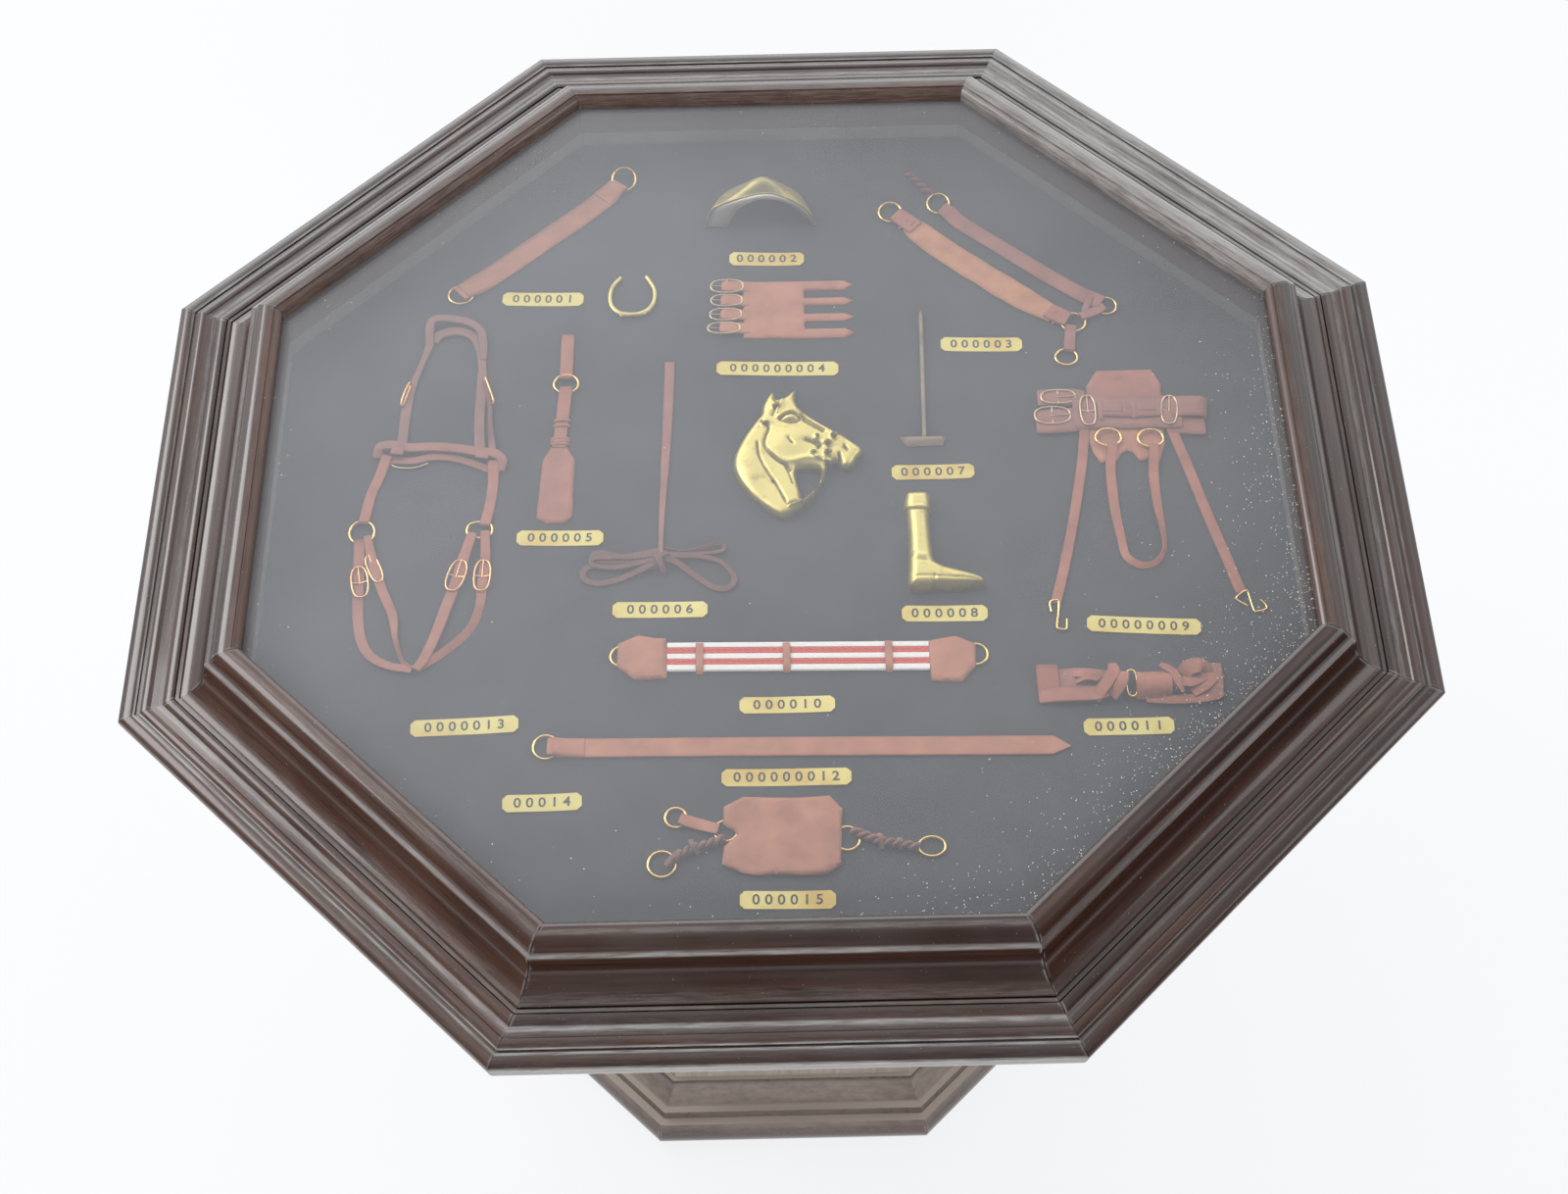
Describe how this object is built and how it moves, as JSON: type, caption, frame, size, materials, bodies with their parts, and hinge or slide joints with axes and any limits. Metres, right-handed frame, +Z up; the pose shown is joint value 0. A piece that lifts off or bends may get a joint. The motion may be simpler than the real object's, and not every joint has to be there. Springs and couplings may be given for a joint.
{
  "type": "display side table",
  "caption": "Octagonal mahogany pedestal side table with a stepped rim and a lift-off glazed cover over a felt bed of labelled saddlery miniatures.",
  "frame": {"origin": "on the floor under the middle of the octagonal top", "axes": "+Z up, -Y towards the picture's viewer, +X to the viewer's right"},
  "size_m": [0.66, 0.66, 0.42],
  "materials": {
    "mahogany": "dark stained, satin polish",
    "carcase_wood": "plain, unpolished",
    "felt": "matt charcoal felt",
    "wall_lining": "matt cloth over board",
    "glass": "clear plate",
    "screw_steel": "plain",
    "leather": "worn, reddish brown",
    "brass": "pale cast brass, dull",
    "dark_wood": "dark, satin",
    "webbing": "woven, white with red stripes",
    "wire": "bent wire, coppery",
    "paper": "aged cream paper, bare"
  },
  "bodies": {
    "table": {"rim_rail_front": "mahogany", "rim_rail_front_right": "mahogany", "rim_rail_right": "mahogany", "rim_rail_back_right": "mahogany", "rim_rail_back": "mahogany", "rim_rail_back_left": "mahogany", "rim_rail_left": "mahogany", "rim_rail_front_left": "mahogany", "pedestal_panel_front": "mahogany", "pedestal_panel_front_right": "mahogany", "pedestal_panel_right": "mahogany", "pedestal_panel_back_right": "mahogany", "pedestal_panel_back": "mahogany", "pedestal_panel_back_left": "mahogany", "pedestal_panel_left": "mahogany", "pedestal_panel_front_left": "mahogany", "base_moulding_front": "mahogany", "base_moulding_front_right": "mahogany", "base_moulding_right": "mahogany", "base_moulding_back_right": "mahogany", "base_moulding_back": "mahogany", "base_moulding_back_left": "mahogany", "base_moulding_left": "mahogany", "base_moulding_front_left": "mahogany", "case_bottom": "carcase_wood", "display_board": "carcase_wood", "pedestal_top_plate": "carcase_wood", "glue_blocks": "carcase_wood", "felt_lining": "felt", "wall_linings": "wall_lining", "case_screws": "screw_steel", "girth_strap": "leather", "overgirth": "leather", "breastplate": "leather", "headstall": "leather", "leather_lace": "leather", "surcingle": "leather", "guard_plate": "leather", "riding_flap": "leather", "leather_pad": "leather", "hobble": "leather", "web_girth_leathers": "leather", "brass_horse_head": "brass", "brass_boot": "brass", "brass_horseshoe": "brass", "brass_cap": "brass", "mallet": "dark_wood", "web_girth_band": "webbing", "wire_fittings": "wire", "labels": "paper"},
    "lid": {"frame_rail_front": "mahogany", "frame_rail_front_right": "mahogany", "frame_rail_right": "mahogany", "frame_rail_back_right": "mahogany", "frame_rail_back": "mahogany", "frame_rail_back_left": "mahogany", "frame_rail_left": "mahogany", "frame_rail_front_left": "mahogany", "glass_pane": "glass", "glazing_beads": "mahogany"}
  },
  "joints": [
    {"name": "lid_lift", "type": "slide", "parent": "table", "child": "lid", "axis": [0, 0, 1], "range_m": [0, 0.12]}
  ]
}
